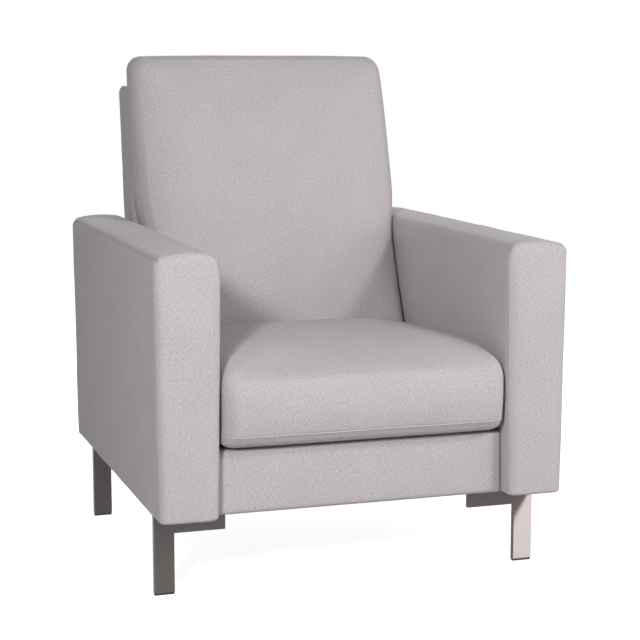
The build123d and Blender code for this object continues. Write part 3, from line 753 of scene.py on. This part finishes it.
class ARMCHAIR_OT_seat_cushion(bpy.types.Operator):
    """Make the loose seat cushion, filled by a cloth simulation, with its seams"""

    bl_idname = "armchair.seat_cushion"
    bl_label = "Seat Cushion"

    def execute(self, context):
        settings, sewing = context.scene.armchair.seat, context.scene.armchair.upholstery
        side_clear, foot_clear, deep = 0.0006, 0.0005, 0.52
        half, bottom = seat_high.x - side_clear, seat_low.z + foot_clear
        seam_height = bottom + settings.border
        low, high = (-half, 0.0, bottom), (half, deep, settings.edge)
        rounds = ((0.028, 0.028), (0.030, 0.022), (0.015, 0.036))
        side_front, side_rear, back_swell = arm_low.y - 0.003, seat_high.y, 0.026
        roll, dip_from, lift_from, edge_share, broad = 0.12, 0.3, 0.34, 0.06, 0.6

        def shape(points):
            x, y, z = rounded(points, low, high, rounds).T
            across, run = np.clip(x / half, -1, 1), y / deep
            full = 1 - across**4
            between = (2 * z - seam_height - settings.edge) / (settings.edge - seam_height)
            front = side_front - settings.nose * full - settings.bulge * np.clip(1 - between**2, 0, 1)
            rear = side_rear - back_swell * full
            under = np.clip((seam_height - z) / settings.border, 0, 1)
            rolled = 1 - (1 - np.clip(y / roll, 0, 1)) ** 2
            arched = 1 - broad * across**2 - (1 - broad) * across**6
            sunk = np.clip((run - dip_from) / (1 - dip_from), 0, 1) ** 2
            lift = settings.crown + settings.arch * arched
            lift *= edge_share + (1 - edge_share) * rolled
            lift += (settings.rear_arch * arched - settings.dip) * sunk
            lift *= ease((z - lift_from) / (settings.edge - lift_from))
            y = front + run * (rear - front) + settings.tuck * under * (1 - run)
            return np.stack([x, y, z + lift], axis=1)

        def held(x, y, z):
            ends, rear, front = np.abs(x) == coarse[0][-1], y == coarse[1][-1], y == coarse[1][0]
            edges = front & ((z == coarse[2][-1]) | (z <= seam_line))
            return ends | rear | edges | (z == coarse[2][0])

        coarse = grid_lines(low, high, rounds, (0.012,) * 3, (3,) * 3, ((), (), (seam_height,)))
        seam_line = coarse[2][np.abs(coarse[2] - seam_height).argmin()]
        beside = seam_height + np.array((-6, -4, -2.6, -1.6, -0.8, 0, 0.8, 1.6, 2.6, 4, 6)) * 0.001
        lines = grid_lines(low, high, rounds, (0.007,) * 3, (10,) * 3, ((), (), beside))
        grid, quads, cloth = soft_box(lines)
        points = filled(shape, coarse, held, grid, quads, settings)
        cushion = mesh_object("seat_cushion", points, quads, cloth)
        fade = 0.02
        share = ease((half - np.abs(points[:, 0])) / fade) * ease((points[:, 2] - bottom) / fade)
        slacken(cushion, points, ((0.0012, 0.11, 5), (0.0005, 0.04, 6)), share)
        rim, belt = (
            shape(path_through([(-half, deep, z), (-half, 0.0, z), (half, 0.0, z), (half, deep, z)]))
            for z in (high[2], seam_height)
        )
        work = seam_work("seat_cushion_seam", cushion, [belt], sewing, rows=(), fold=2.0)
        sew(cushion, [belt], sewing, 0.5)
        sew(cushion, [rim], sewing, 0.35)
        dress(
            cushion, "seat_cushion", "upholstery", woven_fabric(), "seat_cushion_cover", "seat_cushion_core"
        )
        dress(work, "seat_cushion", "upholstery", None)
        return {"FINISHED"}


class ARMCHAIR_OT_back_cushion(bpy.types.Operator):
    """Make the leaning back cushion, filled by a cloth simulation, with its seams"""

    bl_idname = "armchair.back_cushion"
    bl_label = "Back Cushion"

    def execute(self, context):
        settings, sewing = context.scene.armchair.back, context.scene.armchair.upholstery
        inner_taper = context.scene.armchair.arms.inner_taper
        side_clear, foot_clear, arm_clear, deep = 0.0006, 0.0005, 0.0015, 0.15
        half = back_high.x - side_clear
        top_drop, seat_edge, seat_face = 0.003, 0.426, arm_low.y + 0.510
        low, high = (-half, 0.0, back_low.z + foot_clear), (half, deep, back_high.z - top_drop)
        rounds = ((settings.side_round,) * 2, (0.045, 0.040), (0.014, settings.top_round))
        rolled = ((settings.side_roll,) * 2, *rounds[1:])
        slope, rear_slope, foot_slope = math.tan(settings.lean), math.tan(settings.frame_lean), 0.09
        bow_height, bow_reach, pillow_side, pillow_top = 0.70, 0.28, 0.08, 0.09
        roll_from_top, roll_from_seat, crown_tall = 0.14, 0.15, 0.06
        rear_gap, rear_hollow, swell_from = 0.001, 0.018, 0.44
        head_from, head_over, neck, neck_tall = 0.04, 0.11, 0.3, 0.15

        def shape(points):
            tight = rounded(points, low, high, rounds)
            height = points[:, 2:]
            open_side = ease((high[2] - height) / roll_from_top) * ease((height - seat_edge) / roll_from_seat)
            x, y, z = (tight + open_side * (rounded(points, low, high, rolled) - tight)).T
            across, run = np.clip(x / half, -1, 1), y / deep
            full = 1 - across**4
            bow = settings.bow * np.clip(1 - ((z - bow_height) / bow_reach) ** 2, 0, 1)
            above = np.maximum(z - seat_edge, 0)
            below = np.maximum(seat_edge - z, 0)
            front = seat_face + slope * above + foot_slope * below - settings.crown * full - bow * full
            for inside in ((half - np.abs(x)) / pillow_side, (high[2] - z) / pillow_top):
                front = front + settings.pillow * (1 - np.clip(inside, 0, 1)) ** 2.5
            rear = shell_low.y + rear_slope * (z - seat_low.z) - rear_gap - rear_hollow * across**4
            crown = top_drop * full * ease((z - high[2] + crown_tall) / crown_tall)
            stout = ease((z - arm_high.z + head_from) / head_over)
            stout -= neck * ease((z - high[2] + neck_tall) / neck_tall)
            # Between the arms the sides follow the arms' own taper
            up = np.clip((z - arm_low.z) / (arm_high.z - arm_low.z), 0, 1)
            snug = arm_low.x - half - arm_clear + inner_taper * (1 - up)
            wider = 1 + (settings.head * stout + snug) / half
            return np.stack([x * wider, front + run * (rear - front), z + crown], axis=1)

        def held(x, y, z):
            ends, rear, front = np.abs(x) == coarse[0][-1], y == coarse[1][-1], y == coarse[1][0]
            return ends | rear | (z == coarse[2][0]) | (z == coarse[2][-1]) | (front & (z < swell_from))

        coarse = grid_lines(low, high, rounds, (0.013,) * 3, (3,) * 3)
        beside = settings.wrap + np.linspace(-0.006, 0.006, 9)
        lines = grid_lines(low, high, rounds, (0.008, 0.009, 0.008), (12, 10, 10), ((), beside, ()))
        grid, quads, cloth = soft_box(lines)
        points = filled(shape, coarse, held, grid, quads, settings)
        cushion = mesh_object("back_cushion", points, quads, cloth)
        fade = 0.02
        share = ease((half - np.abs(points[:, 0])) / fade)
        slacken(cushion, points, ((0.0012, 0.13, 8), (0.0005, 0.05, 9)), share)
        wrap, foot, top = settings.wrap, low[2], high[2]
        seams = [
            shape(path_through([(x, wrap, foot), (x, wrap, top), (x, deep, top), (x, deep, foot)]))
            for x in (-half, half)
        ]
        work = seam_work("back_cushion_seam", cushion, seams, sewing)
        sew(cushion, seams, sewing)
        dress(cushion, "chair", "upholstery", woven_fabric(), "back_cushion_cover", "back_cushion_core")
        dress(work, "chair", "upholstery", None)
        return {"FINISHED"}


class ARMCHAIR_OT_back_frame(bpy.types.Operator):
    """Make the upholstered frame behind the back cushion"""

    bl_idname = "armchair.back_frame"
    bl_label = "Back Frame"

    def execute(self, context):
        settings, sewing = context.scene.armchair.back, context.scene.armchair.upholstery
        half, deep, swell_deep, step = shell_high.x, 0.105, 0.004, 0.002
        low, high = (-half, 0.0, shell_low.z), (half, deep, shell_high.z)
        rounds = ((0.010, 0.010), (0.012, 0.012), (0.006, 0.018))
        slope = math.tan(settings.frame_lean)

        def shape(points):
            x, y, z = rounded(points, low, high, rounds).T
            across, rise = np.clip(x / half, -1, 1), (z - low[2]) / (high[2] - low[2])
            swollen = swell_deep * (1 - across**4) * (1 - (2 * rise - 1) ** 4) * ease(2 * y / deep - 1)
            front = shell_low.y + slope * (z - seat_low.z)
            # Below the seat the frame starts behind the rear rail
            room = np.maximum(0, dust_high.y - front) * ease((seat_low.z - z) / step) * (1 - y / deep)
            return np.stack([x, front + y + swollen + room, z], axis=1)

        at_step = (seat_low.z - step, seat_low.z)
        lines = grid_lines(low, high, rounds, (0.010,) * 3, (10,) * 3, ((), (), at_step))
        grid, quads, cloth = soft_box(lines)
        points = shape(grid)
        back = mesh_object("back_frame", points, quads, cloth)
        fade = 0.05
        share = ease((points[:, 2] - seat_low.z) / fade)
        slacken(back, points, ((0.0010, 0.14, 11), (0.0004, 0.05, 12)), share)
        foot, top, end = low[2], high[2], seat_high.z
        seams = [
            shape(path_through([(x, deep, foot), (x, deep, top), (x, 0.0, top), (x, 0.0, end)]))
            for x in (-half, half)
        ]
        work = seam_work("back_frame_seam", back, seams, sewing)
        sew(back, seams, sewing)
        dress(back, "chair", "upholstery", woven_fabric(), "back_shell_cover", "back_shell_padding")
        dress(work, "chair", "upholstery", None)
        return {"FINISHED"}


class ARMCHAIR_OT_front_panel(bpy.types.Operator):
    """Make the padded panel under the seat"""

    bl_idname = "armchair.front_panel"
    bl_label = "Front Panel"

    def execute(self, context):
        inner_taper = context.scene.armchair.arms.inner_taper

        def between_arms(points, wide, gap):
            """How much wider a form is, so that it ends a gap short of the tapered arms."""
            up = (points[:, 2] - arm_low.z) / (arm_high.z - arm_low.z)
            return (arm_low.x + inner_taper * (1 - up) - gap) / wide

        end_gap, cloth_depth, cloth_gap, cloth_clear, pad_clear = 0.002, 0.002, 0.0015, 0.0003, 0.0015
        front_deep, swell_deep, slack, wave, seed = 0.006, 0.003, 0.0007, 0.09, 14
        low = (panel_low.x + end_gap, panel_low.y, panel_low.z)
        high = (panel_high.x - end_gap, panel_high.y - cloth_depth - cloth_gap, panel_high.z)
        rounds = ((0.006, 0.006), (0.009, 0.002), (0.009, 0.008))
        grid, quads, cloth = soft_box(grid_lines(low, high, rounds, (0.008, 0.006, 0.006), (6,) * 3))
        pad = rounded(grid, low, high, rounds)
        rise = (pad[:, 2] - low[2]) / (high[2] - low[2])
        full = (1 - (pad[:, 0] / high[0]) ** 4) * (1 - (2 * rise - 1) ** 4)
        pad[:, 1] -= swell_deep * full * (pad[:, 1] < low[1] + front_deep)
        pad[:, 1] += slack * rumple(pad, wave, seed)
        pad[:, 0] *= between_arms(pad, high[0], pad_clear)
        # The cloth that the pad is stapled over runs on to both arms
        low, high = (panel_low.x, panel_high.y - cloth_depth, panel_low.z), tuple(panel_high)
        rounds = ((0.001, 0.001), (0.0008, 0.0008), (0.001, 0.001))
        more, faces, weave = soft_box(grid_lines(low, high, rounds, (0.02,) * 3, (2,) * 3))
        more = rounded(more, low, high, rounds)
        more[:, 1] -= cloth_clear
        more[:, 0] *= between_arms(more, high[0], cloth_clear)
        panel = mesh_object(
            "front_panel", np.concatenate([pad, more]), np.concatenate([quads, faces + len(pad)]),
            np.concatenate([cloth, weave]),
        )
        dress(panel, "chair", "upholstery", woven_fabric(), "front_rail_cover")
        return {"FINISHED"}


class ARMCHAIR_OT_underside(bpy.types.Operator):
    """Make the felt deck under the seat cushion and the dust cover under the seat"""

    bl_idname = "armchair.underside"
    bl_label = "Deck and Dust Cover"

    def execute(self, context):
        # Needled grey felt: a matt mat of short fibres
        felt = frame_material("Needled felt", "#5C5955", "#8B8781", (1.111,) * 3, rough=0.95, relief=0.0006)
        rounds = ((0.004, 0.004), (0.003, 0.003), (0.0015, 0.0019))
        lines = grid_lines(deck_low, deck_high, rounds, (0.012, 0.012, 0.003), (4,) * 3)
        grid, quads, cloth = soft_box(lines)
        points = rounded(grid, deck_low, deck_high, rounds)
        slack, wave, seed, room = 0.0005, 0.05, 16, 0.0006
        points[:, 2] += slack * rumple(points, wave, seed) - room
        deck = mesh_object("seat_deck_felt", points, quads, cloth)
        dress(deck, "chair", "felt", felt, "seat_deck")
        # Spun-bonded black polypropylene: a thin, slightly shiny web with embossed dots
        web = frame_material(
            "Spun-bonded polypropylene", "#161616", "#2B2B2B", (2,) * 3, rough=0.7, relief=0.0004
        )
        thick, sag = 0.0008, 0.003
        rounds = ((0.0006, 0.0006), (0.0006, 0.0006), (0.0003, 0.0003))
        low = (dust_low.x, dust_low.y, dust_high.z - thick)
        grid, quads, cloth = soft_box(grid_lines(low, dust_high, rounds, (0.015, 0.015, 0.001), (2,) * 3))
        points = rounded(grid, low, dust_high, rounds)
        middle = (dust_low + dust_high) / 2
        share = [np.clip((points[:, k] - middle[k]) / (dust_high[k] - middle[k]), -1, 1) for k in (0, 1)]
        points[:, 2] -= sag * (1 - share[0] ** 2) * (1 - share[1] ** 2)
        dust = mesh_object("dust_cover_web", points, quads, cloth)
        dress(dust, "chair", "dust_cloth", web, "dust_cover")
        return {"FINISHED"}


class ARMCHAIR_OT_frame_finishes(bpy.types.Operator):
    """Give the legs and the hidden frame their finishes"""

    bl_idname = "armchair.frame_finishes"
    bl_label = "Legs and Frame"

    def execute(self, context):
        finishes = {"leg_steel": brushed_steel()}
        for slot, name, dark, light, grain, rough, relief, metallic in (
            # Pale, with fine grain along the length and a dull surface
            ("timber", "Sawn beech", "#A97F55", "#D2AE83", (16.67, 16.67, 111.1), 0.7, 0.0003, 0),
            # Paler, with broad rotary-cut figure
            ("plywood", "Birch plywood", "#BC9A6C", "#DCC297", (71.43, 71.43, 25), 0.6, 0.0002, 0),
            # Brown fibres, smooth on one face
            ("hardboard", "Pressed hardboard", "#5E3D24", "#7E5635", (3.333,) * 3, 0.6, 0.0002, 0),
            # Dark, with a dull gleam
            ("spring_steel", "Oil-tempered spring wire", "#35322F", "#5A5651", (2.5,) * 3, 0.45, 0.0001, 1),
            # Bluish, faintly spangled
            ("zinc_steel", "Zinc-plated steel", "#9A9FA5", "#C6C9CC", (4,) * 3, 0.35, 0.0001, 1),
            # Black and satin, with a fine spark-eroded grain
            ("glide_plastic", "Moulded nylon", "#141414", "#242424", (1.25,) * 3, 0.5, 0.0001, 0),
            # Black bands with ribs across them
            ("webbing", "Elastic webbing", "#1B1A19", "#3A3836", (25, 2.5, 2.5), 0.85, 0.0004, 0),
        ):
            finishes[slot] = frame_material(name, dark, light, grain, rough, relief, metallic)
        slots = {part["node"]: part["material_slot"] for part in frame["record"]["subparts"]}
        for name, node in nodes.items():
            if node.hide_render:
                continue
            if name not in slots or slots[name] not in finishes:
                raise RuntimeError(f"no finish for {name}")
            node.data.materials.clear()
            node.data.materials.append(finishes[slots[name]])
        return {"FINISHED"}


class ARMCHAIR_OT_studio(bpy.types.Operator):
    """Set up the camera, the floor, the lights and the surroundings"""

    bl_idname = "armchair.studio"
    bl_label = "Studio"

    def execute(self, context):
        scene = context.scene
        settings = scene.armchair.studio
        camera = bpy.data.objects.new("camera", bpy.data.cameras.new("camera"))
        camera.data.lens = settings.lens
        camera.location = settings.camera_place
        camera.rotation_euler = (math.pi / 2 - settings.camera_pitch, 0, -settings.camera_yaw)
        scene.collection.objects.link(camera)
        scene.camera = camera
        scene.view_settings.view_transform = "Standard"

        reach, glow = 14.0, 0.9
        corners = [(-reach, -reach, 0), (reach, -reach, 0), (reach, reach, 0), (-reach, reach, 0)]
        floor = mesh_object("studio_floor", np.array(corners), np.array([(0, 1, 2, 3)]))
        # Matt white paint that glows for the camera, so the room stays white and the shadow shows
        material, tree, shader = new_material(
            "Matt white paint", Roughness=0.9, Base_Color=(*settings.floor, 1), Emission_Color=(1, 1, 1, 1)
        )
        glowing = add_node(tree, "ShaderNodeMath", {0: self.seen(tree), 1: glow}, operation="MULTIPLY")
        tree.links.new(glowing.outputs[0], shader.inputs["Emission Strength"])
        floor.data.materials.append(material)

        world = bpy.data.worlds.new("studio")
        world.use_nodes = True
        tree = world.node_tree
        tree.nodes.clear()
        strength = add_node(
            tree, "ShaderNodeMapRange", {"Value": self.seen(tree), "To Min": settings.room, "To Max": 1.0}
        )
        white = add_node(
            tree, "ShaderNodeBackground", {"Color": (1, 1, 1, 1), "Strength": strength.outputs["Result"]}
        )
        add_node(tree, "ShaderNodeOutputWorld", {"Surface": white.outputs["Background"]})
        scene.world = world

        target, away = Vector((0, -0.2, 0.5)), 3.6
        for name, azimuth, elevation, size, watts in (
            ("key", -32, 20, 0.4, settings.key),
            ("side", 38, 34, 0.5, settings.side),
            ("fill", 55, 14, 2.4, settings.fill),
            ("rear", 172, 24, 1.8, settings.rear),
            ("glint", 38, 34, 0.5, settings.glint),
        ):
            turn, rise = math.radians(azimuth), math.radians(elevation)
            level = math.cos(rise)
            toward = Vector((math.sin(turn) * level, -math.cos(turn) * level, math.sin(rise)))
            lamp = bpy.data.lights.new(name, "AREA")
            lamp.size, lamp.energy = size, watts
            light = bpy.data.objects.new(name, lamp)
            light.location = target + away * toward
            light.visible_diffuse = name != "glint"
            light.rotation_euler = toward.to_track_quat("Z", "Y").to_euler()
            scene.collection.objects.link(light)
        return {"FINISHED"}

    @staticmethod
    def seen(tree):
        """1 for rays from the camera or by way of metal or glass, and 0 for light on the object."""
        path = add_node(tree, "ShaderNodeLightPath")
        first = add_node(
            tree, "ShaderNodeMath", {0: path.outputs["Is Camera Ray"], 1: path.outputs["Is Glossy Ray"]},
            operation="MAXIMUM",
        )
        return add_node(
            tree, "ShaderNodeMath", {0: first.outputs[0], 1: path.outputs["Is Transmission Ray"]},
            operation="MAXIMUM",
        ).outputs[0]


piece_operators = (
    ARMCHAIR_OT_arms,
    ARMCHAIR_OT_seat_cushion,
    ARMCHAIR_OT_back_cushion,
    ARMCHAIR_OT_back_frame,
    ARMCHAIR_OT_front_panel,
    ARMCHAIR_OT_underside,
    ARMCHAIR_OT_frame_finishes,
    ARMCHAIR_OT_studio,
)


class ARMCHAIR_PT_panel(bpy.types.Panel):
    """Lists the armchair's pieces and settings"""

    bl_label = "Armchair"
    bl_idname = "ARMCHAIR_PT_panel"
    bl_space_type = "VIEW_3D"
    bl_region_type = "UI"
    bl_category = "Armchair"

    def draw(self, context):
        settings = context.scene.armchair
        for operator in piece_operators:
            self.layout.operator(operator.bl_idname)
        for part in ArmchairSettings.__annotations__:
            group, box = getattr(settings, part), self.layout.box()
            for name in group.__annotations__:
                box.prop(group, name)


classes = (
    UpholsterySettings,
    ArmSettings,
    SeatSettings,
    BackSettings,
    LegSettings,
    StudioSettings,
    ArmchairSettings,
    *piece_operators,
    ARMCHAIR_PT_panel,
)


def register():
    """Registers the classes and the scene's settings."""
    for made in classes:
        bpy.utils.register_class(made)
    bpy.types.Scene.armchair = PointerProperty(type=ArmchairSettings)


def unregister():
    """Takes the settings and the classes out again."""
    del bpy.types.Scene.armchair
    for made in reversed(classes):
        bpy.utils.unregister_class(made)


def main():
    """Builds every piece in order."""
    register()
    bpy.ops.armchair.arms()
    bpy.ops.armchair.seat_cushion()
    bpy.ops.armchair.back_cushion()
    bpy.ops.armchair.back_frame()
    bpy.ops.armchair.front_panel()
    bpy.ops.armchair.underside()
    bpy.ops.armchair.frame_finishes()
    bpy.ops.armchair.studio()
    bpy.context.view_layer.update()


if __name__ == "__main__":
    main()
